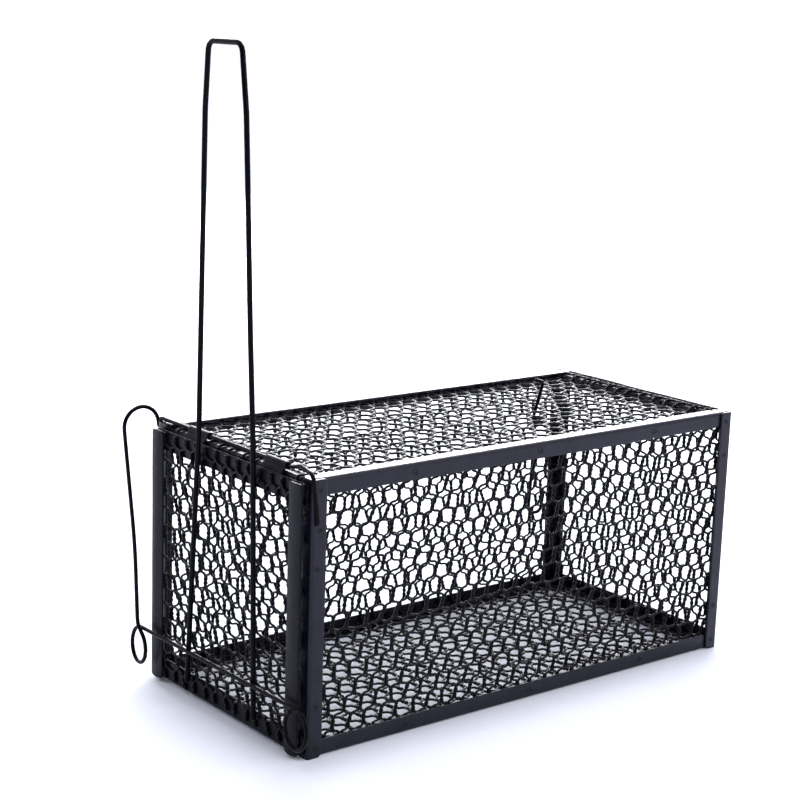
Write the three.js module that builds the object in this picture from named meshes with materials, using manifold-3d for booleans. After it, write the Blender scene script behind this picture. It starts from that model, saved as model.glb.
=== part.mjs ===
// Live catch trap: a welded angle-steel cage closed by hexagonal wire netting, with a
// netting door hung on a torsion rod, a tall wire lever that sets the door, a wire
// spring that shuts and bars it, and a bait hook whose upper end catches the lever.
// Millimetres. +X runs from the door to the rear, +Y to the left side seen from the
// door, +Z up. It is drawn with x = 0 at the cage's front and z = 0 on the surface it
// stands on, then moved so that the origin is under the middle of the whole.

import * as THREE from 'three';
import { mergeVertices } from 'three/addons/utils/BufferGeometryUtils.js';
import Module from 'manifold-3d';

const wasm = await Module();
wasm.setup();

// Driving dimensions
const LENGTH = 270;
const WIDTH = 130;
const HEIGHT = 130;
const FLANGE = 8; // width of each leg of the angle steel
const STEEL = 1; // thickness of the angle and of the door's strips
const NET = 1.2; // thickness of a sheet that stands for the netting
const WELD = 0.2; // gap between pieces that are welded together
const STRIP = 10; // width of the door's frame strips
const DOOR_INSET = 2; // from the cage's side to the door's edge
const DOOR_GAP = 1; // from the front posts to the door's frame
const LEVER_WIRE = 2.6;
const SPRING_WIRE = 2;
const TRIGGER_WIRE = 1.8;
const STAPLE_WIRE = 1.6;

// Levels and planes worked out from them
const STEP = STEEL + WELD;
const SIDE = WIDTH / 2;
const RAIL_SIDE = SIDE - STEP; // outer face of the long rails
const NET_SIDE = RAIL_SIDE - STEP; // outer face of the side netting
const CROSS_HALF = NET_SIDE - NET - WELD; // half length of the cross rails
const FLOOR_Z = 2 * STEP; // underside of the floor netting
const ROOF_Z = HEIGHT - 2 * STEP; // top of the roof netting
const DOOR_HALF = SIDE - DOOR_INSET;
const DOOR_LOW = 1.6;
const DOOR_HIGH = HEIGHT - 2;
const DOOR_FRAME_X = -DOOR_GAP - STEEL; // outer face of the door's cross strips
const DOOR_NET_X = DOOR_FRAME_X - WELD - NET; // outer face of the door's netting
const LEVER_X = DOOR_NET_X - 0.4 - LEVER_WIRE / 2;
const BAR_X = LEVER_X - (LEVER_WIRE + SPRING_WIRE) / 2 - 0.2;
const HINGE_X = 3;
const HINGE_Z = HEIGHT + 1.2;
const MIDDLE = 126.4; // from the cage's front to the middle of the whole, spring included

const steel = { color: 0x23232b, roughness: 0.35, metalness: 0.6 };
const strip = { color: 0x2a2a33, roughness: 0.35, metalness: 0.6 };
const netting = { color: 0x16161b, roughness: 0.4, metalness: 0.6 };
const wire = { color: 0x121216, roughness: 0.3, metalness: 0.7 };

const trap = new THREE.Group();
const v = (x, y, z) => new THREE.Vector3(x, y, z);

function add(name, geometry, finish) {
  const mesh = new THREE.Mesh(geometry, new THREE.MeshStandardMaterial(finish));
  mesh.name = name;
  trap.add(mesh);
  return mesh;
}

// A box between two corners.
function block(low, high) {
  const size = high.clone().sub(low);
  const box = new THREE.BoxGeometry(size.x, size.y, size.z);
  return box.translate(...low.clone().add(high).divideScalar(2).toArray());
}

// Booleans on closed geometries.
function solid(geometry) {
  const bare = geometry.clone();
  bare.deleteAttribute('normal');
  bare.deleteAttribute('uv');
  const merged = mergeVertices(bare, 1e-4);
  return new wasm.Manifold(new wasm.Mesh({
    numProp: 3,
    vertProperties: new Float32Array(merged.attributes.position.array),
    triVerts: new Uint32Array(merged.index.array),
  }));
}

function cut(geometry, tool) {
  const mesh = solid(geometry).subtract(solid(tool)).getMesh();
  const out = new THREE.BufferGeometry();
  out.setAttribute('position', new THREE.BufferAttribute(mesh.vertProperties, 3));
  out.setIndex(new THREE.BufferAttribute(mesh.triVerts, 1));
  return out;
}

// An outline of angle steel with its heel at the origin and its legs along +x and +y,
// extruded along +z.
function angleBar(length) {
  const inner = 0.6;
  const outer = inner + STEEL;
  const shape = new THREE.Shape();
  shape.moveTo(outer, 0);
  shape.lineTo(FLANGE, 0);
  shape.lineTo(FLANGE, STEEL);
  shape.lineTo(outer, STEEL);
  shape.absarc(outer, outer, inner, -Math.PI / 2, -Math.PI, true);
  shape.lineTo(STEEL, FLANGE);
  shape.lineTo(0, FLANGE);
  shape.lineTo(0, outer);
  shape.absarc(outer, outer, outer, Math.PI, 1.5 * Math.PI, false);
  return new THREE.ExtrudeGeometry(shape, { depth: length, bevelEnabled: false, curveSegments: 4 });
}

// Places an angle bar: its heel at a point, its legs along two directions. The bar
// runs along their cross product.
function angle(length, heel, legA, legB) {
  const turn = new THREE.Matrix4().makeBasis(legA, legB, legA.clone().cross(legB));
  return angleBar(length).applyMatrix4(turn.setPosition(heel));
}

// A round wire through a list of points.
class Path extends THREE.Curve {
  constructor(points) {
    super();
    this.points = points;
  }

  getPoint(t) {
    const last = this.points.length - 1;
    const at = Math.min(Math.floor(t * last + 1e-9), last - 1);
    return this.points[at].clone().lerp(this.points[at + 1], t * last - at);
  }

  getPointAt(u) {
    return this.getPoint(u);
  }

  getSpacedPoints() {
    return this.points.map((p) => p.clone());
  }

  getTangentAt(u) {
    const last = this.points.length - 1;
    const at = Math.round(u * last);
    const back = this.points[Math.max(at - 1, 0)];
    const here = this.points[at];
    const next = this.points[Math.min(at + 1, last)];
    const arriving = here.clone().sub(back).normalize();
    const leaving = next.clone().sub(here).normalize();
    return arriving.add(leaving).normalize();
  }
}

function wireAlong(points, diameter, sides = 8) {
  const ring = new THREE.Shape();
  ring.absarc(0, 0, diameter / 2, 0, 2 * Math.PI, false);
  const section = new THREE.Shape(ring.getSpacedPoints(sides).slice(0, sides));
  return new THREE.ExtrudeGeometry(section, {
    steps: points.length - 1,
    extrudePath: new Path(points),
    bevelEnabled: false,
  });
}

// Points on an arc about a centre, from one angle to another, in the plane of u and w.
function arc(centre, u, w, radius, from, to, pieces) {
  return Array.from({ length: pieces + 1 }, (_, i) => {
    const a = from + ((to - from) * i) / pieces;
    const point = centre.clone().addScaledVector(u, radius * Math.cos(a));
    return point.addScaledVector(w, radius * Math.sin(a));
  });
}

// Rounds the corners of a polyline: each corner is [point, radius].
function bent(corners, pieces = 5) {
  const points = [];
  corners.forEach(([corner, radius], i) => {
    if (!radius || i === 0 || i === corners.length - 1) {
      points.push(corner.clone());
      return;
    }
    const before = corners[i - 1][0].clone().sub(corner).normalize();
    const after = corners[i + 1][0].clone().sub(corner).normalize();
    const half = before.angleTo(after) / 2;
    const middle = before.clone().add(after).normalize();
    const centre = corner.clone().addScaledVector(middle, radius / Math.sin(half));
    const start = corner.clone().addScaledVector(before, radius / Math.tan(half)).sub(centre);
    const end = corner.clone().addScaledVector(after, radius / Math.tan(half)).sub(centre);
    const across = end.clone().addScaledVector(start, -end.dot(start) / start.lengthSq()).normalize();
    points.push(...arc(centre, start.normalize(), across, radius, 0, Math.PI - 2 * half, pieces));
  });
  return points;
}

// Posts: angles standing at the four corners, outside every rail. The front right one
// has the hole that anchors the spring.
const ANCHOR_X = 2.2;
const ANCHOR_Z = HEIGHT - 20;

function posts() {
  for (const [end, x, inX] of [['front', 0, 1], ['rear', LENGTH, -1]]) {
    for (const [hand, y, inY] of [['right', -SIDE, 1], ['left', SIDE, -1]]) {
      const alongX = v(inX, 0, 0);
      const alongY = v(0, inY, 0);
      const legs = inX * inY > 0 ? [alongX, alongY] : [alongY, alongX];
      let post = angle(HEIGHT, v(x, y, 0), ...legs);
      if (end === 'front' && hand === 'right') {
        const drill = new THREE.CylinderGeometry(1.2, 1.2, 4, 16).translate(ANCHOR_X, y, ANCHOR_Z);
        post = cut(post, drill);
      }
      add(`${end}_${hand}_post`, post, steel);
    }
  }
}

// Long rails: angles along each side between the posts' front and rear legs.
function longRails() {
  const run = LENGTH - 2 * STEP;
  for (const [hand, y, inY] of [['right', -RAIL_SIDE, 1], ['left', RAIL_SIDE, -1]]) {
    for (const [level, z, inZ] of [['bottom', 0, 1], ['top', HEIGHT, -1]]) {
      const alongY = v(0, inY, 0);
      const alongZ = v(0, 0, inZ);
      const forward = inY * inZ > 0;
      const legs = forward ? [alongY, alongZ] : [alongZ, alongY];
      add(`${level}_${hand}_rail`, angle(run, v(STEP, y, z), ...legs), steel);
    }
  }
}

// Cross rails: angles across the front and rear, lapped over the long rails' flat legs.
function crossRails() {
  const run = 2 * CROSS_HALF;
  for (const [end, x, inX] of [['front', STEP, 1], ['rear', LENGTH - STEP, -1]]) {
    for (const [level, z, inZ] of [['bottom', STEP, 1], ['top', HEIGHT - STEP, -1]]) {
      const alongX = v(inX, 0, 0);
      const alongZ = v(0, 0, inZ);
      const legs = inX * inZ > 0 ? [alongZ, alongX] : [alongX, alongZ];
      add(`${end}_${level}_rail`, angle(run, v(x, -CROSS_HALF, z), ...legs), steel);
    }
  }
}

// Netting of the cage. The bait hook's upper end passes through one cell of the roof.
const PIVOT = v(190.8, 0, ROOF_Z - NET - 5);

function cageNetting() {
  const ends = 2 * STEP + WELD;
  const back = LENGTH - ends - NET;
  for (const [hand, near] of [['right', -NET_SIDE], ['left', NET_SIDE - NET]]) {
    const low = v(STEP + WELD, near, STEP + 0.8);
    const high = v(LENGTH - STEP - WELD, near + NET, HEIGHT - STEP - 0.8);
    add(`${hand}_side_mesh`, block(low, high), netting);
  }
  const floor = block(v(ends, -CROSS_HALF, FLOOR_Z), v(back - WELD, CROSS_HALF, FLOOR_Z + NET));
  add('floor_mesh', floor, netting);
  const roof = block(v(ends, -CROSS_HALF, ROOF_Z - NET), v(back - WELD, CROSS_HALF, ROOF_Z));
  const cell = block(v(PIVOT.x - 3.6, -1.6, ROOF_Z - 2 * NET), v(PIVOT.x + 4, 3.6, ROOF_Z + NET));
  add('roof_mesh', cut(roof, cell), netting);
  add('rear_mesh', block(v(back, -CROSS_HALF, FLOOR_Z), v(back + NET, CROSS_HALF, ROOF_Z)), netting);
}

// Door: two cross strips behind the netting, two upright strips in front of its edges.
function door() {
  const inner = -DOOR_GAP;
  for (const [level, z] of [['bottom', DOOR_LOW], ['top', DOOR_HIGH - STRIP]]) {
    const low = v(DOOR_FRAME_X, -DOOR_HALF, z);
    add(`door_${level}_strip`, block(low, v(inner, DOOR_HALF, z + STRIP)), strip);
  }
  const low = v(DOOR_NET_X, 1 - DOOR_HALF, DOOR_LOW + 1);
  const high = v(DOOR_NET_X + NET, DOOR_HALF - 1, DOOR_HIGH - 1);
  add('door_mesh', block(low, high), netting);
  const outer = DOOR_NET_X - WELD;
  for (const [hand, y] of [['right', -DOOR_HALF], ['left', DOOR_HALF - STRIP]]) {
    const foot = v(outer - STEEL, y, DOOR_LOW);
    add(`door_${hand}_strip`, block(foot, v(outer, y + STRIP, DOOR_HIGH)), strip);
  }
}

// Hinge straps: strips welded behind the door's top strip and curled round the rod.
const STRAP_WIDTH = 17;

function hingeStraps() {
  const sheet = 0.8;
  const inner = SPRING_WIRE / 2 + 0.1;
  const outer = inner + sheet;
  const shape = new THREE.Shape();
  const back = -DOOR_GAP + WELD; // front face of the upright part
  const open = THREE.MathUtils.degToRad(205); // where the curl leaves the upright part
  const tip = open - THREE.MathUtils.degToRad(300);
  const low = HEIGHT - 9;
  shape.moveTo(back, low);
  shape.lineTo(back + sheet, low);
  shape.lineTo(back + sheet, HEIGHT - 2);
  shape.lineTo(HINGE_X + inner * Math.cos(open), HINGE_Z + inner * Math.sin(open));
  shape.absarc(HINGE_X, HINGE_Z, inner, open, tip, true);
  shape.lineTo(HINGE_X + outer * Math.cos(tip), HINGE_Z + outer * Math.sin(tip));
  shape.absarc(HINGE_X, HINGE_Z, outer, tip, open, false);
  shape.lineTo(back, HEIGHT - 1.4);
  const turn = new THREE.Matrix4().makeBasis(v(1, 0, 0), v(0, 0, 1), v(0, -1, 0));
  for (const [hand, y] of [['right', -33.5], ['left', 31]]) {
    const strap = new THREE.ExtrudeGeometry(shape, {
      depth: STRAP_WIDTH, bevelEnabled: false, curveSegments: 14,
    });
    strap.applyMatrix4(turn.clone().setPosition(0, y + STRAP_WIDTH / 2, 0));
    add(`${hand}_hinge_strap`, strap, strip);
  }
}

// Setting lever: one long wire bent into a narrow U, welded up the outside of the door.
const LEVER_TOP = 314.5;

function settingLever() {
  const p = (y, z) => v(LEVER_X, y, z);
  const foot = 9;
  const corners = [
    [p(28.3, foot), 0],
    [p(19.8, HEIGHT + 8), 80],
    [p(17, LEVER_TOP - 30), 60],
    [p(14.4, LEVER_TOP), 4.5],
    [p(-12.4, LEVER_TOP), 4.5],
    [p(-16.6, LEVER_TOP - 30), 60],
    [p(-25.4, HEIGHT + 8), 80],
    [p(-29.2, foot), 0],
  ];
  add('setting_lever', wireAlong(bent(corners), LEVER_WIRE), wire);
}

// Torsion rod: the fixed length of the spring wire. It lies on the cage's top edge
// inside the hinge straps, humps over the front right corner, leans down the post and
// hooks into its hole.
const ROD_END = SIDE + 1;

function torsionRod() {
  const outside = -SIDE - SPRING_WIRE / 2 - 0.2;
  const corners = [
    [v(HINGE_X, ROD_END, HINGE_Z), 0],
    [v(HINGE_X, -44, HINGE_Z), 12],
    [v(HINGE_X - 1.5, -53, HINGE_Z + 2.6), 6],
    [v(-1, outside, HINGE_Z + 1.6), 2.5],
    [v(ANCHOR_X, outside, ANCHOR_Z), 1.8],
    [v(ANCHOR_X, -SIDE + 1.6, ANCHOR_Z), 0],
  ];
  add('torsion_rod', wireAlong(bent(corners), SPRING_WIRE), wire);
}

// Spring bail: the part of the same wire that swings. It turns back on itself at the end
// of the rod, arches forward, comes down beside the door, turns a ring, bars the door
// low down and ends in a second ring.
function springBail() {
  const armY = SIDE + 3;
  const layer = SPRING_WIRE + 0.1; // two turns of the wire lie side by side
  const y = v(0, 1, 0);
  const z = v(0, 0, 1);
  const barLeft = 25.3;
  const barRight = 26.6;
  const ringHalf = 7.4;
  const ringTall = 9.1;

  const bend = 1.1; // radius of the wire's tight turns
  const downY = ROD_END + 0.4 + bend;
  const humpY = downY + 2 * bend;
  const humpRadius = 9.6;
  const humpZ = HINGE_Z - 3.4;
  const down = bent([
    [v(HINGE_X, ROD_END + 0.3, HINGE_Z), 0],
    [v(HINGE_X, downY, HINGE_Z), bend],
    [v(HINGE_X, downY, humpZ), 0],
  ]).slice(0, -1);
  const back = arc(v(HINGE_X, downY + bend, humpZ), v(0, -1, 0), v(0, 0, -1),
    bend, 0, Math.PI, 8);
  const hump = arc(v(HINGE_X - humpRadius, humpY, humpZ), v(1, 0, 0), z,
    humpRadius, 0.06, THREE.MathUtils.degToRad(186), 16);
  const fall = bent([
    [hump[hump.length - 1], 0],
    [v(-10.7, armY + 0.8, 68), 400],
    [v(BAR_X - layer, armY, 30), 0],
  ], 4).slice(1);

  // A ring hangs from the bar: it is traced clockwise from its top, seen from the front.
  const ring = (centreY, top, fromTurn, toTurn, fromX, toX) => {
    const pieces = Math.round((toTurn - fromTurn) * 18);
    return Array.from({ length: pieces + 1 }, (_, i) => {
      const share = i / pieces;
      const turn = 2 * Math.PI * (fromTurn + (toTurn - fromTurn) * share);
      return v(fromX + (toX - fromX) * share, 0, top - ringTall)
        .addScaledVector(y, centreY - ringHalf * Math.sin(turn))
        .addScaledVector(z, ringTall * Math.cos(turn));
    });
  };
  const entry = [v(BAR_X - layer, armY - 0.5, 27.6), v(BAR_X - layer, armY - 1.8, 26)];
  const left = ring(armY, barLeft, 0.11, 1, BAR_X - layer, BAR_X);
  const right = ring(-armY, barRight, 0, 0.93, BAR_X, BAR_X - layer);
  const points = [...down, ...back, ...hump, ...fall, ...entry, ...left, ...right];
  add('spring_bail', wireAlong(points, SPRING_WIRE), wire);
}

// Trigger staple: a small wire bridge under the roof netting that the trigger turns on.
function triggerStaple() {
  const reach = 7;
  const top = ROOF_Z - NET - WELD;
  const corners = [
    [v(PIVOT.x, -reach, top), 0],
    [v(PIVOT.x, -reach, PIVOT.z), 1.5],
    [v(PIVOT.x, reach, PIVOT.z), 1.5],
    [v(PIVOT.x, reach, top), 0],
  ];
  add('trigger_staple', wireAlong(bent(corners), STAPLE_WIRE), wire);
}

// Bait trigger: one wire. Below the roof it hangs as the bait hook, its eye goes once
// round the staple, and above the roof it ends in the catch that holds the lever. At
// rest it leans back, clear of the lever's path.
const LEAN = THREE.MathUtils.degToRad(18);

function baitTrigger() {
  const leverHeld = LEVER_TOP - HINGE_Z; // the lever lies this far behind the hinge
  const leverZ = HINGE_Z + HINGE_X - LEVER_X; // and this high, when the door is set
  const noseZ = leverZ + (LEVER_WIRE + TRIGGER_WIRE) / 2 + 0.3;
  const eye = (STAPLE_WIRE + TRIGGER_WIRE) / 2 + 0.15;
  const shift = TRIGGER_WIRE / 2 + 0.12; // the eye's two ends pass each other
  const reach = HINGE_X + leverHeld - 3 - PIVOT.x; // tip of the nose, past the lever

  // The catch is drawn upright, as it stands when it holds the lever, and leaned back.
  const catchCorners = [
    [v(-eye, shift, 1), 0],
    [v(-eye, shift, noseZ - PIVOT.z), 1.6],
    [v(reach, shift, noseZ - PIVOT.z), 0],
  ];
  const lean = (p) => p.applyAxisAngle(v(0, 1, 0), LEAN);
  const upper = bent(catchCorners).map(lean);
  const turns = 20;
  const loop = Array.from({ length: turns + 1 }, (_, i) => {
    const a = Math.PI - ((2 * Math.PI + LEAN) * i) / turns;
    return v(eye * Math.cos(a), shift * ((2 * i) / turns - 1), eye * Math.sin(a));
  });
  const lower = bent([
    [v(6.8, -shift, -39), 0],
    [v(5, -shift, -50), 3.6],
    [v(-3.8, -shift, -50), 3.6],
    [v(-eye - 0.6, -shift, -24), 40],
    [v(-eye, -shift, -1), 0],
  ], 6);
  const points = [...lower, ...loop, ...upper].map((p) => p.add(PIVOT));
  add('bait_trigger', wireAlong(points, TRIGGER_WIRE), wire);
}

posts();
longRails();
crossRails();
cageNetting();
door();
hingeStraps();
settingLever();
torsionRod();
springBail();
triggerStaple();
baitTrigger();
trap.children.forEach((mesh) => mesh.geometry.translate(-MIDDLE, 0, 0));

export default trap;
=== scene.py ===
"""The looks of the live catch trap: twisted hexagonal netting, angle steel with rounded
edges and spot welds, bent spring wires and gloss black enamel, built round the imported
frame. Lengths in the script are millimetres in the cage's own frame, with x = 0 at the
cage's front and z = 0 on the ground, and place() turns them into the row frame.
"""

import math

import bpy
import numpy as np
from mathutils import Matrix, Vector


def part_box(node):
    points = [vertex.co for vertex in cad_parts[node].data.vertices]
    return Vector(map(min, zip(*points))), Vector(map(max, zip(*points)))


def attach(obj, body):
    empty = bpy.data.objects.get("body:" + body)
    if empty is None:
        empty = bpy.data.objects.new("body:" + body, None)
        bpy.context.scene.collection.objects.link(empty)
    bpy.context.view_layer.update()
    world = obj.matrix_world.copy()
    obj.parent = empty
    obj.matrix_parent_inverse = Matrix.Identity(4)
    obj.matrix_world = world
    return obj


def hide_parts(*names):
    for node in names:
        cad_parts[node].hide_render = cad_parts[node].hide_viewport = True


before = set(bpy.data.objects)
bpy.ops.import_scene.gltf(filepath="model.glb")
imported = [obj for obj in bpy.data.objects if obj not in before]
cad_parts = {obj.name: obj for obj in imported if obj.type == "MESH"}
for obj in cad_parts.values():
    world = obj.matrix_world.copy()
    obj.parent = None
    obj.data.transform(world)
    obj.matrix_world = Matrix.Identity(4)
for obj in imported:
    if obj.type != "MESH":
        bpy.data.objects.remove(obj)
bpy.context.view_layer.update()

MM = 0.001
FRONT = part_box("front_right_post")[0].x  # the cage's front plane, in the row frame


def place(points):
    """Cage millimetres to row-frame metres."""
    out = np.asarray(points, dtype=float) * MM
    return out + np.array([FRONT, 0.0, 0.0])


def cage_box(node):
    """(low, high) corner of a CAD node in cage millimetres."""
    shift = Vector((FRONT, 0.0, 0.0))
    return tuple(np.array((corner - shift) / MM) for corner in map(Vector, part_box(node)))


# ---------------------------------------------------------------- camera, light, floor

CAMERA_AT = (-448.2, -683.7, 333.9)
CAMERA_AZIMUTH = math.radians(-128.65)  # direction from the trap to the camera, from +X
CAMERA_ELEVATION = math.radians(12.33)
CAMERA_ROLL = math.radians(1.91)
LENS = 81.9  # focal length on a 36 mm sensor

SURROUND = (0.93, 0.94, 1.06, 1.0)  # slightly blue, which the black enamel picks up
BEHIND = (0.62, 0.78, 0.0)  # level direction from the camera past the trap
AIM = (0.0, 0.0, 0.1)  # what the softboxes are turned to
SOFTBOXES = (  # name, place, width, height, watts
    ("back_softbox", (1.3, 1.65, 0.75), 2.6, 0.8, 85.0),
    ("side_softbox", (0.6, -1.9, 1.0), 1.4, 0.9, 14.0),
)
SUN_TOWARD = (0.15, 0.1, 1.0)
SUN_SPREAD = 90.0  # degrees, so that it throws no hard shadow
SUN_STRENGTH = 1.45
SUN_COLOUR = (0.96, 0.97, 1.0)
FLOOR_COLOUR = (0.88, 0.9, 0.97, 1.0)
FLOOR_REACH = 12.0


def add_camera():
    data = bpy.data.cameras.new("camera")
    data.lens = LENS
    data.clip_start, data.clip_end = 0.05, 20.0
    camera = bpy.data.objects.new("camera", data)
    bpy.context.scene.collection.objects.link(camera)
    level = math.cos(CAMERA_ELEVATION)
    back = Vector((level * math.cos(CAMERA_AZIMUTH), level * math.sin(CAMERA_AZIMUTH),
                   math.sin(CAMERA_ELEVATION)))
    right = Vector((0, 0, 1)).cross(back).normalized()
    basis = Matrix((right, back.cross(right), back)).transposed().to_4x4()
    turned = basis @ Matrix.Rotation(CAMERA_ROLL, 4, "Z")
    camera.matrix_world = Matrix.Translation(place(CAMERA_AT)) @ turned
    bpy.context.scene.camera = camera


def add_softbox(name, at, width, height, power):
    data = bpy.data.lights.new(name, "AREA")
    data.shape = "RECTANGLE"
    data.size, data.size_y = width, height
    data.energy = power
    light = bpy.data.objects.new(name, data)
    light.location = at
    light.rotation_euler = (Vector(at) - Vector(AIM)).to_track_quat("Z", "Y").to_euler()
    light.visible_camera = False
    bpy.context.scene.collection.objects.link(light)


def add_world():
    """A white surround behind the trap that falls off to grey in front of it."""
    world = bpy.data.worlds.new("studio")
    world.use_nodes = True
    tree = world.node_tree
    background = tree.nodes["Background"]
    background.inputs["Color"].default_value = SURROUND
    direction = tree.nodes.new("ShaderNodeTexCoord").outputs["Generated"]
    behind = tree.nodes.new("ShaderNodeVectorMath")
    behind.operation = "DOT_PRODUCT"
    behind.inputs[1].default_value = BEHIND
    tree.links.new(direction, behind.inputs[0])
    fall = tree.nodes.new("ShaderNodeMapRange")
    for socket, number in (("From Min", -0.7), ("From Max", 0.3), ("To Min", 0.15),
                           ("To Max", 1.15)):
        fall.inputs[socket].default_value = number
    tree.links.new(behind.outputs["Value"], fall.inputs["Value"])
    tree.links.new(fall.outputs["Result"], background.inputs["Strength"])
    bpy.context.scene.world = world


def add_sun():
    data = bpy.data.lights.new("fill", "SUN")
    data.angle = math.radians(SUN_SPREAD)
    data.energy = SUN_STRENGTH
    data.color = SUN_COLOUR
    light = bpy.data.objects.new("fill", data)
    light.rotation_euler = Vector(SUN_TOWARD).to_track_quat("Z", "Y").to_euler()
    bpy.context.scene.collection.objects.link(light)


def add_floor():
    mesh = bpy.data.meshes.new("floor")
    far = FLOOR_REACH
    mesh.from_pydata([(-far, -far, 0), (far, -far, 0), (far, far, 0), (-far, far, 0)], [],
                     [(0, 1, 2, 3)])
    floor = bpy.data.objects.new("floor", mesh)
    bpy.context.scene.collection.objects.link(floor)
    material = bpy.data.materials.new("floor_white")
    material.use_nodes = True
    shader = material.node_tree.nodes["Principled BSDF"]
    shader.inputs["Base Color"].default_value = FLOOR_COLOUR
    shader.inputs["Roughness"].default_value = 0.9
    mesh.materials.append(material)


bpy.context.scene.view_settings.view_transform = "Standard"
add_camera()
add_world()
for softbox in SOFTBOXES:
    add_softbox(*softbox)
add_sun()
add_floor()


# ---------------------------------------------------------------- materials

# Scales of the enamel's noises, per metre.
CLOUDS, RUNS, GLOSS_PATCHES = 90.0, 180.0, 260.0
WEAR_PATCHES, PEEL, SPECKS = 420.0, 1100.0, 2600.0
PEEL_DEPTH = 0.0004  # metres
WORN_TONE = (0.10, 0.10, 0.11)


def enamel(name, deep, pale, rough_low, rough_high, shine, peel=0.12, wear=0.25):
    """Dipped gloss enamel: uneven tone, orange peel, small specks and thin edges. Its
    roughness, its shine and the strengths of its peel and wear are shares of 1."""
    material = bpy.data.materials.new(name)
    material.use_nodes = True
    tree = material.node_tree
    shader = tree.nodes["Principled BSDF"]
    link = tree.links.new
    coords = tree.nodes.new("ShaderNodeTexCoord").outputs["Object"]

    def noise(scale, detail=3.0, rough=0.55):
        node = tree.nodes.new("ShaderNodeTexNoise")
        node.inputs["Scale"].default_value = scale
        node.inputs["Detail"].default_value = detail
        node.inputs["Roughness"].default_value = rough
        link(coords, node.inputs["Vector"])
        return node.outputs["Fac"]

    def spread(value, low, high, to_low, to_high):
        node = tree.nodes.new("ShaderNodeMapRange")
        for socket, number in zip(("From Min", "From Max", "To Min", "To Max"),
                                  (low, high, to_low, to_high)):
            node.inputs[socket].default_value = number
        link(value, node.inputs["Value"])
        return node.outputs["Result"]

    def math_node(operation, first, second):
        node = tree.nodes.new("ShaderNodeMath")
        node.operation = operation
        for socket, value in zip(node.inputs, (first, second)):
            if isinstance(value, float):
                socket.default_value = value
            else:
                link(value, socket)
        return node.outputs["Value"]

    def mix(factor, first, second):
        node = tree.nodes.new("ShaderNodeMix")
        node.data_type = "RGBA"
        link(factor, node.inputs["Factor"])
        for socket, value in ((node.inputs["A"], first), (node.inputs["B"], second)):
            if isinstance(value, tuple):
                socket.default_value = (*value, 1.0)
            else:
                link(value, socket)
        return node.outputs["Result"]

    tone = mix(spread(noise(CLOUDS), 0.3, 0.7, 0.0, 1.0), deep, pale)
    specks = spread(noise(SPECKS, 1.0), 0.66, 0.74, 0.0, 0.5)
    tone = mix(specks, tone, tuple(2.6 * c for c in pale))
    pointed = tree.nodes.new("ShaderNodeNewGeometry").outputs["Pointiness"]
    edges = math_node("MULTIPLY", spread(pointed, 0.53, 0.62, 0.0, wear),
                      spread(noise(WEAR_PATCHES), 0.4, 0.6, 0.0, 1.0))
    tone = mix(edges, tone, WORN_TONE)
    link(tone, shader.inputs["Base Color"])

    gloss = spread(noise(GLOSS_PATCHES, 4.0), 0.3, 0.7, rough_low, rough_high)
    link(math_node("ADD", gloss, math_node("MULTIPLY", specks, 0.3)), shader.inputs["Roughness"])

    height = math_node("ADD", noise(PEEL, 2.0), math_node("MULTIPLY", noise(RUNS), 1.5))
    bump = tree.nodes.new("ShaderNodeBump")
    bump.inputs["Strength"].default_value = peel
    bump.inputs["Distance"].default_value = PEEL_DEPTH
    link(height, bump.inputs["Height"])
    link(bump.outputs["Normal"], shader.inputs["Normal"])

    shader.inputs["IOR"].default_value = 1.5
    shader.inputs["Specular IOR Level"].default_value = shine
    return material


FRAME_PAINT = enamel("frame_enamel", (0.004, 0.004, 0.010), (0.009, 0.009, 0.021), 0.24, 0.4, 0.24)
# The door's enamel is the frame's black enamel with a deeper base colour: that extra darkness is
# painted shade on the door's front-facing strips and its hinge straps.
SHADED_DOOR_PAINT = enamel("door_enamel_painted_shade", (0.002, 0.002, 0.006), (0.005, 0.005, 0.011), 0.26, 0.42, 0.09)
NET_LOOK = ((0.001, 0.001, 0.0022), (0.003, 0.003, 0.0065), 0.26, 0.42)
NET_PAINT = enamel("netting_enamel", *NET_LOOK, 0.12, peel=0.2, wear=0.05)
ROOF_PAINT = enamel("roof_enamel", *NET_LOOK, 0.28, peel=0.2, wear=0.05)
WIRE_PAINT = enamel("wire_enamel", (0.001, 0.001, 0.0018), (0.003, 0.003, 0.005), 0.2, 0.34,
                    0.06, peel=0.08, wear=0.05)
WELD_PAINT = enamel("weld_enamel", (0.0015, 0.0015, 0.004), (0.006, 0.006, 0.013), 0.3, 0.5,
                    0.18, peel=0.3, wear=0.3)


# ---------------------------------------------------------------- mesh building

# A wire's domed end: its height and the radius of its flat top, in radii of the wire.
DOME_HEIGHT, DOME_TOP = 0.35, 0.6


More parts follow.
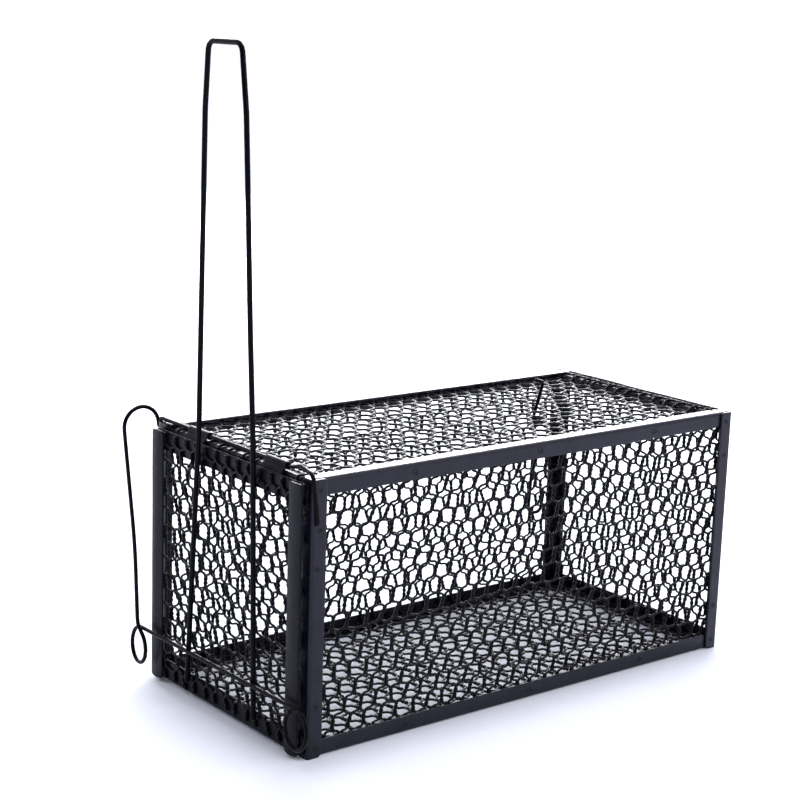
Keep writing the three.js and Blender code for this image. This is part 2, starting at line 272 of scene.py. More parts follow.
class Skin:
    """Collects tubes and grids in cage millimetres and makes one object of them."""

    def __init__(self):
        self.points, self.faces, self.count = [], [], 0

    def rings(self, rings):
        """A closed tube through rings of points, an array (rings, points in a ring, 3)."""
        rings = np.asarray(rings, dtype=float)
        number, sides, _ = rings.shape
        index = self.count + np.arange(number * sides).reshape(number, sides)
        after = np.roll(index, -1, axis=1)
        quads = np.stack([index[:-1], after[:-1], after[1:], index[1:]], axis=-1)
        self.faces += quads.reshape(-1, 4).tolist()
        self.faces += [index[0][::-1].tolist(), index[-1].tolist()]
        self.points.append(rings.reshape(-1, 3))
        self.count += number * sides

    def wire(self, path, radius, sides=12, across=None):
        """A round wire along a path, with slightly domed ends."""
        path = np.asarray(path, dtype=float)
        ahead = np.gradient(path, axis=0)
        ahead /= np.linalg.norm(ahead, axis=1, keepdims=True)
        if across is None:
            side = parallel_sides(ahead)
        else:
            side = np.cross(np.asarray(across, dtype=float), ahead)
            side /= np.linalg.norm(side, axis=1, keepdims=True)
        up = np.cross(ahead, side)
        radius = np.broadcast_to(radius, len(path))
        dome = radius[0] * DOME_HEIGHT
        path = np.vstack([path[:1] - ahead[:1] * dome, path, path[-1:] + ahead[-1:] * dome])
        radius = np.concatenate([radius[:1] * DOME_TOP, radius, radius[-1:] * DOME_TOP])
        side = np.vstack([side[:1], side, side[-1:]])
        up = np.vstack([up[:1], up, up[-1:]])
        turn = 2 * np.pi * np.arange(sides) / sides
        spokes = (side[:, None] * np.cos(turn)[None, :, None]
                  + up[:, None] * np.sin(turn)[None, :, None])
        self.rings(path[:, None] + spokes * radius[:, None, None])

    def piece(self, name, body, material, replaces=(), sharp=None):
        mesh = bpy.data.meshes.new(name)
        mesh.from_pydata(place(np.vstack(self.points)).tolist(), [], self.faces)
        mesh.validate()
        mesh.materials.append(material)
        mesh.polygons.foreach_set("use_smooth", [True] * len(mesh.polygons))
        if sharp:
            mesh.set_sharp_from_angle(angle=math.radians(sharp))
        made = bpy.data.objects.new(name, mesh)
        bpy.context.scene.collection.objects.link(made)
        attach(made, body)
        if replaces:
            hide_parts(*replaces)
        return made


def parallel_sides(ahead):
    """A direction across the path at each point that never twists about it."""
    start = np.eye(3)[np.argmin(np.abs(ahead[0]))]
    side = np.cross(ahead[0], start)
    out = [side / np.linalg.norm(side)]
    for direction in ahead[1:]:
        side = out[-1] - direction * np.dot(out[-1], direction)
        out.append(side / np.linalg.norm(side))
    return np.array(out)


def arc(centre, u, w, radius, start, end, pieces):
    """Points on an arc in the plane of u and w."""
    angle = np.linspace(start, end, pieces + 1)[:, None]
    return (np.asarray(centre) + radius * (np.cos(angle) * np.asarray(u)
                                           + np.sin(angle) * np.asarray(w)))


def bent(corners, pieces=12):
    """A polyline with each [point, radius] corner rounded."""
    spots = [np.array(point, dtype=float) for point, _ in corners]
    out = [spots[0]]
    for i in range(1, len(corners) - 1):
        radius = corners[i][1]
        before = spots[i - 1] - spots[i]
        after = spots[i + 1] - spots[i]
        before /= np.linalg.norm(before)
        after /= np.linalg.norm(after)
        half = math.acos(np.clip(np.dot(before, after), -1, 1)) / 2
        middle = before + after
        centre = spots[i] + middle / np.linalg.norm(middle) * radius / math.sin(half)
        start = spots[i] + before * radius / math.tan(half) - centre
        end = spots[i] + after * radius / math.tan(half) - centre
        u = start / np.linalg.norm(start)
        w = end - u * np.dot(end, u)
        w /= np.linalg.norm(w)
        out += list(arc(centre, u, w, radius, 0, math.pi - 2 * half, pieces))
    out.append(spots[-1])
    return np.array(out)


def evened(path, step):
    """The same path with points about a step apart."""
    path = np.asarray(path, dtype=float)
    run = np.concatenate([[0], np.cumsum(np.linalg.norm(np.diff(path, axis=0), axis=1))])
    at = np.linspace(0, run[-1], max(3, int(round(run[-1] / step)) + 1))
    return np.stack([np.interp(at, run, path[:, i]) for i in range(3)], axis=1)


def wander(count, reach, seed, waves=4):
    """A smooth seeded wobble of about that reach at each of count points."""
    usual = 1.6  # how far the sum of the waves usually goes
    rng = np.random.default_rng(seed)
    t = np.linspace(0, 1, count)
    out = np.zeros(count)
    for k in range(1, waves + 1):
        out += rng.normal(0, 1 / k) * np.sin(2 * np.pi * (k * t + rng.random()))
    return reach * out / usual


# ---------------------------------------------------------------- angle steel

FLANGE = 8.0
STEEL = 1.0
FOLD = 1.6  # outer radius of the fold
EDGE = 0.42  # radius of the legs' sheared edges
STIFF = 2.0  # this near its heel the angle is straight, and its legs wave more further out


def angle_outline():
    """The outline of the angle steel, its heel at (0, 0) and its legs along +p and +q."""
    x, y = np.array([1.0, 0.0]), np.array([0.0, 1.0])

    def turn(centre, radius, start, end, pieces):
        return arc(centre, x, y, radius, math.radians(start), math.radians(end), pieces)

    inner = FOLD - STEEL
    tip = FLANGE - EDGE
    flat = np.linspace(FOLD, tip, 6)[1:-1]
    return np.vstack([
        turn((FOLD, FOLD), FOLD, 180, 270, 8),
        [(p, 0.0) for p in flat],
        turn((tip, EDGE), EDGE, -90, 0, 3),
        turn((tip, STEEL - EDGE), EDGE, 0, 90, 3),
        [(p, STEEL) for p in flat[::-1]],
        turn((FOLD, FOLD), inner, 270, 180, 5),
        [(STEEL, q) for q in flat],
        turn((STEEL - EDGE, tip), EDGE, 0, 90, 3),
        turn((EDGE, tip), EDGE, 90, 180, 3),
        [(0.0, q) for q in flat[::-1]],
    ])


def angle_bar(node, run_axis, heel, seed, low_round=1.2, high_round=1.2):
    """An angle in the box of a CAD node. heel says, for the two other axes in order, if
    the heel is at the low (-1) or high (+1) side of the box."""
    low, high = cage_box(node)
    legs = [axis for axis in range(3) if axis != run_axis]
    outline = angle_outline()
    length = high[run_axis] - low[run_axis]

    rounding = 1 - np.cos(np.linspace(0, np.pi / 2, 6))
    inside = np.linspace(low_round, length - high_round, int(length / 6))[1:-1]
    stations = np.concatenate([low_round * rounding, inside,
                               length - high_round * rounding[::-1]])

    waves = [wander(len(stations), 0.10, seed + i, 6) for i in range(4)]
    rings = []
    for n, s in enumerate(stations):
        shape = outline.copy()
        for radius, reach in ((low_round, s), (high_round, length - s)):
            if reach < radius:
                short = radius - math.sqrt(max(0.0, radius**2 - (radius - reach)**2))
                start = FLANGE - radius
                beyond = shape > start
                shape[beyond] -= (shape[beyond] - start) / radius * short
        long_p = np.clip((shape[:, 0] - STIFF) / (FLANGE - STIFF), 0, 1)
        long_q = np.clip((shape[:, 1] - STIFF) / (FLANGE - STIFF), 0, 1)
        shape[:, 0] += long_p * waves[0][n]
        shape[:, 1] += long_q * waves[1][n]
        shape[:, 1] += long_p**2 * waves[2][n] * 0.6
        shape[:, 0] += long_q**2 * waves[3][n] * 0.6
        ring = np.zeros((len(shape), 3))
        ring[:, run_axis] = low[run_axis] + s
        for leg, side, across in zip(legs, heel, shape.T):
            corner = low[leg] if side < 0 else high[leg]
            ring[:, leg] = corner - side * across
        rings.append(ring)
    rings = np.array(rings)
    mirrored = heel[0] * heel[1] * (-1 if run_axis == 1 else 1) < 0
    if mirrored:
        rings = rings[:, ::-1]
    skin = Skin()
    skin.rings(rings)
    skin.piece(node + "_steel", "cage", FRAME_PAINT, [node], sharp=40)


def add_cage_frame():
    seed = 11
    for end, x in (("front", -1), ("rear", 1)):
        for hand, y in (("right", -1), ("left", 1)):
            seed += 7
            angle_bar(f"{end}_{hand}_post", 2, (x, y), seed, low_round=2.6, high_round=1.6)
        for level, z in (("bottom", -1), ("top", 1)):
            seed += 7
            angle_bar(f"{end}_{level}_rail", 1, (x, z), seed)
    for hand, y in (("right", -1), ("left", 1)):
        for level, z in (("bottom", -1), ("top", 1)):
            seed += 7
            angle_bar(f"{level}_{hand}_rail", 0, (y, z), seed)


def weld_mark(skin, centre, normal, radius, seed):
    """A spot weld: a low ring of squeezed metal round a shallow pit."""
    # From the pit to the rim: share of the radius, and height over the face.
    profile = [(0.12, 0.03), (0.35, 0.02), (0.52, 0.10), (0.68, 0.24), (0.82, 0.20), (1.0, -0.1)]
    rng = np.random.default_rng(seed)
    normal = np.asarray(normal, dtype=float)
    u = np.cross(normal, (0.3, 0.5, 0.81))
    u /= np.linalg.norm(u)
    w = np.cross(normal, u)
    sides = 20
    turn = 2 * np.pi * np.arange(sides) / sides
    ripple = 1 + 0.08 * np.sin(2 * turn + rng.random() * 6)
    rings = []
    for share, height in profile[::-1]:
        reach = radius * share * ripple
        rings.append(np.asarray(centre) + normal * height
                     + np.outer(np.cos(turn) * reach, u) + np.outer(np.sin(turn) * reach, w))
    skin.rings(rings)


RAIL_WELDS = (58.0, 135.0, 212.0)  # x of the welds along the long rails
END_WELDS = 60.8  # how far from the middle the welds on the cage's ends are


def add_spot_welds():
    """Welds in pairs along the long rails, down the posts and on the two ends."""
    skin = Skin()
    low, high = cage_box("top_right_rail")
    post_high = cage_box("rear_left_post")[1]
    seed = 400
    for y_sign in (-1, 1):
        rail_face = abs(low[1]) * y_sign
        for x in RAIL_WELDS:
            for z in (3.6, high[2] - 3.8):
                seed += 1
                drift = np.random.default_rng(seed).normal(0, 0.8, 2)
                spot = (x + drift[0], rail_face, z + drift[1] * 0.4)
                weld_mark(skin, spot, (0, y_sign, 0), 1.9, seed)
        post_face = abs(post_high[1]) * y_sign
        for x in (4.3, post_high[0] - 4.3):
            for z in (5.0, 24.3, post_high[2] - 23.0, post_high[2] - 5.0):
                seed += 1
                weld_mark(skin, (x, post_face, z), (0, y_sign, 0), 1.4, seed)
        weld_mark(skin, (3.6, post_face, 88.9), (0, y_sign, 0), 1.4, seed + 50)
    for x, x_sign in ((0.0, -1), (post_high[0], 1)):
        for y in (-END_WELDS, END_WELDS):
            for z in (5.5, post_high[2] - 5.5):
                seed += 1
                weld_mark(skin, (x, y, z), (x_sign, 0, 0), 1.3, seed)
    skin.piece("spot_welds", "cage", WELD_PAINT)


add_cage_frame()
add_spot_welds()


# ---------------------------------------------------------------- netting

NET_WIRE = 0.62  # radius of a strand, paint included
HUG = 0.7  # how near two twisted strands lie, as paint fills the groove between them
CELL = 9.1  # from one twist to the next in a row
DOOR_CELL = 8.9  # the same at the door and the rear
ROOF_CELL = 9.5
ROW = 8.0  # from one row of twists to the next
TWIST = 4.7  # length of a twist
SWELL = 1.03  # how much thicker the paint makes a strand in a twist
SWING = 0.13  # how much steeper the wires run by the twists than half-way between
HELD, FREE = 9.0, 17.0  # the steel holds the sheet flat up to HELD from its edges
ROUND_CATCH = 9.5  # the netting is left even this far round the catch
SHORTEST = 6  # points; a shorter bit of strand is left out
EDGE_ROOM = 0.3  # a strand stays this far inside the sheet's side edges


class Netting:
    """Twisted hexagonal netting in a plane. u runs along the rows of twists and v along
    the twists themselves; every strand zigzags along v and is twisted once round its
    left and its right neighbour in turn. skew is how far the strands lean towards u."""

    def __init__(self, origin, u, v, size, cell, start, seed, uneven=0.42, skew=0.0):
        self.origin, self.u, self.v = (np.array(a, dtype=float) for a in (origin, u, v))
        self.out = np.cross(self.u, self.v)
        self.size, self.cell, self.start, self.skew = size, cell, start, skew
        self.rng = np.random.default_rng(seed)
        self.first_row = -int(start[1] // ROW) - 2
        self.rows = int(size[1] / ROW) + 5
        self.spare = int(abs(skew) * size[1] / 2 / cell) + 1  # cells that the skew needs
        self.first_pair = -int(start[0] // cell) - 3 - self.spare
        self.pairs = int(size[0] / cell) + 8 + 2 * self.spare
        shape = (self.rows, self.pairs)
        self.drift = self.rng.normal(0, uneven, (*shape, 3)) * np.array([1.0, 1.0, 0.5])
        self.lean = self.rng.normal(skew, 0.13, shape)
        self.stretch = self.rng.normal(1.0, 0.08, shape)
        self.phases = self.rng.random(9) * 2 * np.pi

    def warp(self, u, v):
        """Slow stretching of the whole sheet and its bellies."""
        a = self.phases
        du = 0.8 * np.sin(v / 31 + a[0]) + 0.5 * np.sin(u / 43 + v / 19 + a[1])
        dv = 0.8 * np.sin(u / 37 + a[2]) + 0.5 * np.sin(u / 17 - v / 41 + a[3])
        dn = 0.28 * np.sin(u / 29 + a[4]) * np.sin(v / 23 + a[5]) + 0.10 * np.sin(u / 11 + a[6])
        return du, dv, dn

    def centre_cell(self, u, v):
        """Moves the sheet so that the middle of a cell, left straight, lies at (u, v)."""
        du, dv, _ = self.warp(u, v)
        du += self.skew * (v - self.size[1] / 2)
        self.start = ((u - du - self.cell / 2) % self.cell, (v - dv) % (2 * ROW))
        rows = self.first_row + np.arange(self.rows)[:, None]
        pairs = self.first_pair + np.arange(self.pairs)[None, :]
        away_u = self.start[0] + (pairs - 0.5 * (rows % 2)) * self.cell + du - u
        away_v = self.start[1] + rows * ROW + dv - v
        near = np.hypot(away_u, away_v) < ROUND_CATCH
        self.drift[near] = 0.0
        self.lean[near] = self.skew

    def twist(self, row, strand):
        """Where a strand's twist in a row is, and on which side of it the strand lies."""
        if row % 2 == 0:
            pair, side, u = strand // 2, (-1 if strand % 2 == 0 else 1), strand // 2
        elif strand % 2:
            pair, side, u = (strand + 1) // 2, -1, (strand - 1) // 2 + 0.5
        else:
            pair, side, u = strand // 2, 1, strand // 2 - 0.5
        slot = (row - self.first_row, pair - self.first_pair)
        slot = (min(max(slot[0], 0), self.rows - 1), min(max(slot[1], 0), self.pairs - 1))
        du, dv, dn = self.drift[slot]
        v = self.start[1] + row * ROW
        du += self.skew * (v - self.size[1] / 2)
        centre = (self.start[0] + u * self.cell + du, v + dv, dn)
        return centre, side, self.lean[slot], self.stretch[slot]

    def strand(self, strand, low, high):
        """The path of one strand between two heights of v: each point's u and v, its place
        round the twist, how far the sheet itself stands out there, and its thickness."""
        turn_steps, free_steps = 8, 5
        out = []
        for row in range(self.first_row, self.first_row + self.rows):
            (u, v, n), side, lean, stretch = self.twist(row, strand)
            share = np.linspace(0, 1, turn_steps + 1)
            # Neighbouring rows are twisted opposite ways.
            spin = 2 * np.pi * share * (1 if row % 2 else -1)
            along = (share - 0.5) * TWIST * stretch
            out.append(np.stack([
                u + side * NET_WIRE * HUG * np.cos(spin) + along * lean,
                v + along,
                side * NET_WIRE * HUG * np.sin(spin),
                np.full(len(share), n),
                np.full(len(share), SWELL),
            ], axis=1))
        path = [out[0]]
        for before, after in zip(out, out[1:]):
            t = np.arange(1, free_steps) / free_steps
            swing = SWING * np.sin(2 * np.pi * t)
            share = np.stack([t - swing, t + swing, t, t, t], axis=1)
            link = before[-1] + (after[0] - before[-1]) * share
            link[:, 4] -= (SWELL - 1) * np.sin(np.pi * t)
            path += [link, after]
        path = np.vstack(path)
        inside = (path[:, 1] > low) & (path[:, 1] < high)
        return path[inside]

    def build(self, skin, lap):
        """All strands, cut to the sheet's size or up to a lap longer or shorter."""
        width, height = self.size
        first = 2 * (-int(self.start[0] // self.cell) - 1 - self.spare)
        strands = int(2 * width / self.cell) + 6 + 4 * self.spare
        for strand in range(first, first + strands):
            low, high = self.rng.uniform(-lap, lap, 2) + np.array([0, height])
            path = self.strand(strand, low, high)
            # How far past a side edge a strand may swing before it is cut.
            beyond = 1.0 if self.skew else 0.3 * self.cell
            kept = np.flatnonzero((path[:, 0] > -beyond) & (path[:, 0] < width + beyond))
            if len(kept) < SHORTEST:
                continue
            path = path[kept[0]:kept[-1] + 1]
            du, dv, dn = self.warp(path[:, 0], path[:, 1])
            u = np.clip(path[:, 0] + du, EDGE_ROOM, width - EDGE_ROOM)
            v = path[:, 1] + dv
            edge = np.minimum(np.minimum(u, width - u), np.minimum(v, height - v))
            free = np.clip((edge - HELD) / (FREE - HELD), 0, 1)
            n = path[:, 2] + free * (path[:, 3] + dn)
            points = (self.origin + np.outer(u, self.u) + np.outer(v, self.v)
                      + np.outer(n, self.out))
            skin.wire(points, NET_WIRE * path[:, 4], 6, across=self.out)


def add_panel(node, across, cell, start, seed, body="cage", paint=NET_PAINT, lap=0.5,
              shift=0.0, centre=None, **style):
    """Netting in the place of a CAD sheet that is thin along the axis called across."""
    low, high = cage_box(node)
    run_u, run_v = [axis for axis in range(3) if axis != across]
    origin = low.copy()
    origin[across] = (low[across] + high[across]) / 2 + shift
    size = (high[run_u] - low[run_u], high[run_v] - low[run_v])
    sheet = Netting(origin, np.eye(3)[run_u], np.eye(3)[run_v], size, cell, start, seed,
                    **style)
    if centre:
        sheet.centre_cell(centre[0] - low[run_u], centre[1] - low[run_v])
    skin = Skin()
    sheet.build(skin, lap)
    skin.piece(node.replace("mesh", "netting"), body, paint, [node])


def add_netting():
    add_panel("right_side_mesh", 1, CELL, (2.0, 3.4), 20, lap=0.8, shift=0.1, skew=0.19)
    add_panel("left_side_mesh", 1, CELL, (3.7, 5.5), 22, lap=0.8, shift=-0.1, skew=-0.19)
    add_panel("floor_mesh", 2, CELL, (1.0, 4.0), 31)
    catch = (cage_box("trigger_staple")[0][0] + 0.6, 1.0)
    add_panel("roof_mesh", 2, ROOF_CELL, (0.0, 0.0), 41, paint=ROOF_PAINT, centre=catch,
              skew=0.2)
    add_panel("rear_mesh", 0, DOOR_CELL, (3.0, 2.0), 51)
    add_panel("door_mesh", 0, DOOR_CELL, (1.5, 3.0), 61, body="door", lap=0.3, uneven=0.6,
              skew=0.2)


def fold_over(skin, rail, side, spots, seed):
    """The netting's wires where they are folded over a cross rail and cut off. side is
    -1 at the front and 1 at the rear."""
    low, high = cage_box(rail)
    rng = np.random.default_rng(seed)
    inner, outer = (low[0], high[0]) if side > 0 else (high[0], low[0])
    clear = NET_WIRE + 0.05
    over = high[2] + clear
    beyond = outer + side * clear
    net = cage_box("roof_mesh")[1][2] - 0.6
    for y in spots:
        middle = y + rng.uniform(-1.1, 1.1)
        lean = rng.uniform(-1.8, 1.8)
        tail = rng.uniform(0.5, 2.6)
        # Out of the sheet, over the rail's inner edge, across it and down its outer face.
        path = bent([[(inner - side * 3.4, middle - lean, net), 0],
                     [(inner - side * 0.7, middle - 0.4 * lean, over), 1.1],
                     [(beyond, middle + lean, over), 0.8],
                     [(beyond, middle + 1.1 * lean, over - tail), 0]], 5)
        skin.wire(evened(path, 0.7), NET_WIRE, 8)


def selvedge(skin, rail, x, seed):
    """A pair of loosely twisted wires that end the netting, laid along a cross rail."""
    twist = 8.2  # length of a turn
    low, high = cage_box(rail)
    y = np.arange(low[1] + 4.5, high[1] - 4.5, 0.9)
    spin = 2 * np.pi * y / twist + wander(len(y), 0.8, seed + 2)
    middle_x = x + wander(len(y), 0.35, seed, 9)
    middle_z = high[2] + NET_WIRE + 0.1 + np.abs(wander(len(y), 0.08, seed + 1, 7))
    for side in (-1, 1):
        lift = NET_WIRE * HUG * (1 + side * np.sin(spin))
        path = np.stack([middle_x + side * NET_WIRE * HUG * np.cos(spin), y,
                         np.minimum(middle_z + 0.6 * lift, high[2] + 1.2)], axis=1)
        skin.wire(path, NET_WIRE, 8)


def add_folded_edges():
    skin = Skin()
    rear = cage_box("rear_top_rail")
    cells = np.arange(-54.0, 57.0, CELL)  # y of each folded wire
    fold_over(skin, "rear_top_rail", 1, cells, 77)
    selvedge(skin, "rear_top_rail", rear[0][0] + 1.9, 81)
    selvedge(skin, "rear_top_rail", rear[1][0] - 1.7, 84)
    straps = [cage_box(f"{hand}_hinge_strap") for hand in ("right", "left")]
    beside_straps = [y for y in cells
                     if not any(low[1] - 3.5 < y < high[1] + 3.5 for low, high in straps)]
    fold_over(skin, "front_top_rail", -1, beside_straps, 78)
    selvedge(skin, "front_top_rail", cage_box("front_top_rail")[1][0] - 1.7, 87)
    skin.piece("netting_ends", "cage", NET_PAINT)


add_netting()
add_folded_edges()


# ---------------------------------------------------------------- door

def strip(node, run_axis, crown, seed, corner=1.6):
    """A flat strip in the x-facing box of a CAD node, with rolled edges, a slight crown
    towards the front and rounded ends."""
    low, high = cage_box(node)
    across = 3 - run_axis  # the other of y and z
    thick = high[0] - low[0]
    wide = high[across] - low[across]
    length = high[run_axis] - low[run_axis]
    edge = thick * 0.46
    half = wide / 2 - edge
    share = np.linspace(-1, 1, 15)
    face = np.stack([-crown * (1 - share**2), share * half], axis=1)
    x, y = np.array([1.0, 0.0]), np.array([0.0, 1.0])
    outline = np.vstack([
        face,
        arc((edge, half), x, y, edge, math.pi, math.pi / 2, 4)[1:],
        arc((thick - edge, half), x, y, edge, math.pi / 2, 0, 4),
        [(thick, s * half) for s in np.linspace(1, -1, 7)[1:-1]],
        arc((thick - edge, -half), x, y, edge, 0, -math.pi / 2, 4),
        arc((edge, -half), x, y, edge, -math.pi / 2, -math.pi, 4)[:-1],
    ])
    ends = corner * (1 - np.cos(np.linspace(0, np.pi / 2, 6)))
    inside = np.linspace(corner, length - corner, int(length / 5))[1:-1]
    stations = np.concatenate([ends, inside, length - ends[::-1]])
    sway = wander(len(stations), 0.12, seed, 5)
    bow = wander(len(stations), 0.08, seed + 1, 4)
    rings = []
    for n, s in enumerate(stations):
        reach = min(s, length - s)
        short = 0.0
        if reach < corner:
            short = corner - math.sqrt(max(0.0, corner**2 - (corner - reach)**2))
        ring = np.zeros((len(outline), 3))
        ring[:, run_axis] = low[run_axis] + s
        ring[:, 0] = low[0] + outline[:, 0] + bow[n]
        middle = (low[across] + high[across]) / 2 + sway[n]
        ring[:, across] = middle + outline[:, 1] * (wide / 2 - short) / (wide / 2)
        rings.append(ring)
    rings = np.array(rings)
    if run_axis == 2:
        rings = rings[:, ::-1]
    skin = Skin()
    skin.rings(rings)
    skin.piece(node + "_steel", "door", SHADED_DOOR_PAINT, [node], sharp=50)


SPRING_WIRE = 1.0  # radius
HINGE = (cage_box("torsion_rod")[1][0] - SPRING_WIRE,
         cage_box("top_left_rail")[1][2] + 1.2)  # x and z of the rod's axis


def hinge_strap(node):
    """A strap that rises behind the door's top strip and curls round the rod."""
    low, high = cage_box(node)
    sheet = 0.8
    inner = SPRING_WIRE + 0.1
    outer = inner + sheet
    leave, tip = math.radians(205), math.radians(-95)  # where the curl starts and ends
    x, z = np.array([1.0, 0.0]), np.array([0.0, 1.0])
    back = low[0]
    inside = np.vstack([
        [(back + sheet, s) for s in np.linspace(low[2] + 0.3, high[2] - 5.1, 5)],
        arc(HINGE, x, z, inner, leave, tip, 30),
    ])
    outside = np.vstack([
        [(back, s) for s in np.linspace(low[2] + 0.3, high[2] - 4.5, 5)],
        arc(HINGE, x, z, outer, leave, tip, 30),
    ])
    outline = np.vstack([inside, outside[::-1]])
    width = high[1] - low[1]
    soft = 0.4  # over this length its side edges are rounded
    stations = [0.0, 0.12, soft, *np.linspace(1.0, width - 1.0, 8), width - soft,
                width - 0.12, width]
    middle = (inside + outside) / 2
    rings = []
    for s in stations:
        reach = min(s, width - s)
        rounding = 1 - min(reach, soft) / soft
        thin = 0.65 + 0.35 * math.sqrt(1 - rounding**2)
        shape = np.vstack([middle + (inside - middle) * thin,
                           (middle + (outside - middle) * thin)[::-1]])
        ring = np.zeros((len(outline), 3))
        ring[:, 0], ring[:, 1], ring[:, 2] = shape[:, 0], low[1] + s, shape[:, 1]
        rings.append(ring)
    skin = Skin()
    skin.rings(np.array(rings))
    skin.piece(node + "_steel", "door", SHADED_DOOR_PAINT, [node], sharp=50)


def add_door():
    strip("door_bottom_strip", 1, 0.15, 301)
    strip("door_top_strip", 1, 0.15, 311)
    strip("door_right_strip", 2, 0.35, 321)
    strip("door_left_strip", 2, 0.35, 331)
    hinge_strap("right_hinge_strap")
    hinge_strap("left_hinge_strap")


add_door()


# ---------------------------------------------------------------- wires

def add_setting_lever():
    low, high = cage_box("setting_lever")
    radius = (high[0] - low[0]) / 2
    x = (low[0] + high[0]) / 2
    top = high[2] - radius
    foot = low[2]
    bend = top - 30
    cage_top = cage_box("top_left_rail")[1][2] + 8
    # One long U from foot to foot; its legs lean together as they rise.
    path = bent([
        [(x, 28.3, foot), 0],
        [(x, 19.8, cage_top), 80],
        [(x, 17.0, bend), 60],
        [(x, 14.4, top), 4.5],
        [(x, -12.4, top), 4.5],
        [(x, -16.6, bend), 60],
        [(x, -25.4, cage_top), 80],
        [(x, -29.2, foot), 0],
    ])
    path = evened(path, 1.2)
    away = np.clip((path[:, 2] - 125) / 60, 0, 1)  # held flat by the door below this
    path[:, 0] += wander(len(path), 0.25, 501, 5) * away
    path[:, 1] += wander(len(path), 0.35, 502, 6)
    skin = Skin()
    skin.wire(path, radius, 16)
    skin.piece("lever_wire", "door", WIRE_PAINT, ["setting_lever"])


def weld_bead(skin, centre, size, seed):
    """A small lump of weld metal."""
    rng = np.random.default_rng(seed)
    rings = []
    for share in np.linspace(-1, 1, 9)[1:-1]:
        turn = 2 * np.pi * np.arange(14) / 14
        reach = math.sqrt(1 - share**2)
        lump = 1 + 0.08 * np.sin(turn * 3 + rng.random() * 6) * reach
        rings.append(np.stack([
            centre[0] + size[0] * reach * np.cos(turn) * lump,
            centre[1] + size[1] * reach * np.sin(turn) * lump,
            np.full(14, centre[2] + size[2] * share),
        ], axis=1))
    skin.rings(rings)


def add_lever_welds():
    """Beads that hold the lever's legs to the door's netting and cross strips."""
    x = cage_box("door_mesh")[0][0] + 0.1
    skin = Skin()
    for z, ys in ((cage_box("door_bottom_strip")[1][2] - 1.2, (28.2, -29.1)),
                  (cage_box("door_top_strip")[0][2] + 4.5, (20.9, -25.9))):
        for y in ys:
            weld_bead(skin, (x, y, z), (1.0, 1.9, 2.6), int(abs(y) * 10))
    skin.piece("lever_welds", "door", WELD_PAINT)


def add_torsion_rod():
    low, high = cage_box("torsion_rod")
    x, z = HINGE
    outside = low[1] + SPRING_WIRE
    anchor = low[2] + SPRING_WIRE
    # From the left end along the cage's front, over the post and down into its hole.
    path = bent([
        [(x, high[1] + 0.15, z), 0],
        [(x, -44, z), 12],
        [(x - 1.5, -53, z + 2.6), 6],
        [(-1.0, outside, z + 1.6), 2.5],
        [(2.2, outside, anchor), 1.8],
        [(2.2, -cage_box("rear_left_post")[1][1] + 1.6, anchor), 0],
    ])
    skin = Skin()
    skin.wire(evened(path, 0.5), SPRING_WIRE, 14)
    skin.piece("spring_rod", "cage", WIRE_PAINT, ["torsion_rod"])


def ring_turn(x_from, x_to, y, top, half, tall, start, end):
    """One turn of wire hung from its top, clockwise seen from the front."""
    share = np.linspace(0, 1, int(60 * (end - start)) + 1)
    turn = 2 * np.pi * (start + (end - start) * share)
    return np.stack([x_from + (x_to - x_from) * share, y - half * np.sin(turn),
                     top - tall + tall * np.cos(turn)], axis=1)


def add_spring_bail():
    hinge_x, hinge_z = HINGE
    arm_y = cage_box("rear_left_post")[1][1] + 3
    bar_x = cage_box("setting_lever")[0][0] - SPRING_WIRE - 0.2
    layer = 2 * SPRING_WIRE + 0.1
    half, tall = 7.4, 9.1  # of the rings
    rod_end = cage_box("torsion_rod")[1][1]
    turn = 1.1  # radius of the wire's tight turns
    down_y = rod_end + 0.4 + turn
    hump_z = hinge_z - 3.4
    reach = 9.6  # radius of the hump
    # Down and back up beside the post, forward over a hump, down the front, round the
    # first ring, across the door and round the second ring.
    down = bent([[(hinge_x, rod_end + 0.1, hinge_z), 0], [(hinge_x, down_y, hinge_z), turn],
                 [(hinge_x, down_y, hump_z), 0]])
    back = arc((hinge_x, down_y + turn, hump_z), (0, -1, 0), (0, 0, -1), turn, 0, math.pi, 12)
    hump = arc((hinge_x - reach, down_y + 2 * turn, hump_z), (1, 0, 0), (0, 0, 1), reach,
               0.06, math.radians(186), 40)
    fall = bent([[hump[-1], 0], [(-10.7, arm_y + 0.8, 68), 400],
                 [(bar_x - layer, arm_y, 30), 0]])
    path = np.vstack([
        down[:-1],
        back,
        hump,
        fall[1:],
        [(bar_x - layer, arm_y - 0.5, 27.6), (bar_x - layer, arm_y - 1.8, 26)],
        ring_turn(bar_x - layer, bar_x, arm_y, 25.3, half, tall, 0.11, 1),
        ring_turn(bar_x, bar_x - layer, -arm_y, 26.6, half, tall, 0, 0.93),
    ])
    path = evened(path, 0.4)
    for _ in range(4):
        path[1:-1] = (path[:-2] + 2 * path[1:-1] + path[2:]) / 4
    skin = Skin()
    skin.wire(path, SPRING_WIRE, 14)
    skin.piece("bail_wire", "bail", WIRE_PAINT, ["spring_bail"])


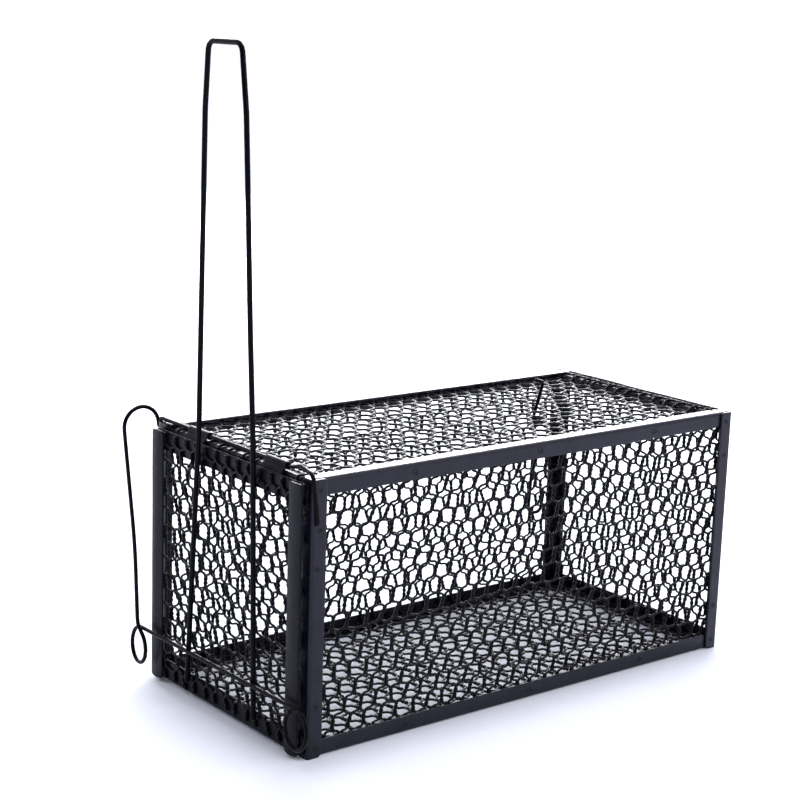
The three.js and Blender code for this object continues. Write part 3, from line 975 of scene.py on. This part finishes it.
def add_trigger():
    low, high = cage_box("trigger_staple")
    radius = (high[0] - low[0]) / 2
    pivot = np.array([(low[0] + high[0]) / 2, 0.0, low[2] + radius])
    reach = high[1] - radius
    net = cage_box("roof_mesh")[0][2]
    path = bent([[(pivot[0], -reach, net + 0.6), 0], [(pivot[0], -reach, pivot[2]), 1.5],
                 [(pivot[0], reach, pivot[2]), 1.5], [(pivot[0], reach, net + 0.6), 0]])
    skin = Skin()
    skin.wire(evened(path, 0.4), radius, 12)
    skin.piece("staple_wire", "cage", WIRE_PAINT, ["trigger_staple"])

    thick = 0.9  # radius of the trigger's wire
    lean = math.radians(18)
    lever_low, lever_high = cage_box("setting_lever")
    lever_x = (lever_low[0] + lever_high[0]) / 2
    lever_radius = lever_x - lever_low[0]
    lever_top = lever_high[2] - lever_radius
    # With the door open the lever lies over the roof, so the catch reaches over its top.
    nose = HINGE[1] + HINGE[0] - lever_x + lever_radius + thick + 0.3 - pivot[2]
    tip = HINGE[0] + lever_top - HINGE[1] - 3 - pivot[0]
    eye = radius + thick + 0.15
    shift = thick + 0.12
    upper = bent([[(-eye, shift, 1), 0], [(-eye, shift, nose), 1.6], [(tip, shift, nose), 0]])
    cos, sin = math.cos(lean), math.sin(lean)
    upper = np.stack([upper[:, 0] * cos + upper[:, 2] * sin, upper[:, 1],
                      -upper[:, 0] * sin + upper[:, 2] * cos], axis=1)
    turn = np.linspace(0, 1, 41)
    angle = math.pi - (2 * math.pi + lean) * turn
    loop = np.stack([eye * np.cos(angle), shift * (2 * turn - 1), eye * np.sin(angle)], axis=1)
    lower = bent([[(6.8, -shift, -39), 0], [(5.0, -shift, -50), 3.6], [(-3.8, -shift, -50), 3.6],
                  [(-eye - 0.6, -shift, -24), 40], [(-eye, -shift, -1), 0]])
    skin = Skin()
    skin.wire(evened(pivot + np.vstack([lower, loop, upper]), 0.35), thick, 12)
    skin.piece("trigger_wire", "trigger", WIRE_PAINT, ["bait_trigger"])


add_setting_lever()
add_lever_welds()
add_torsion_rod()
add_spring_bail()
add_trigger()
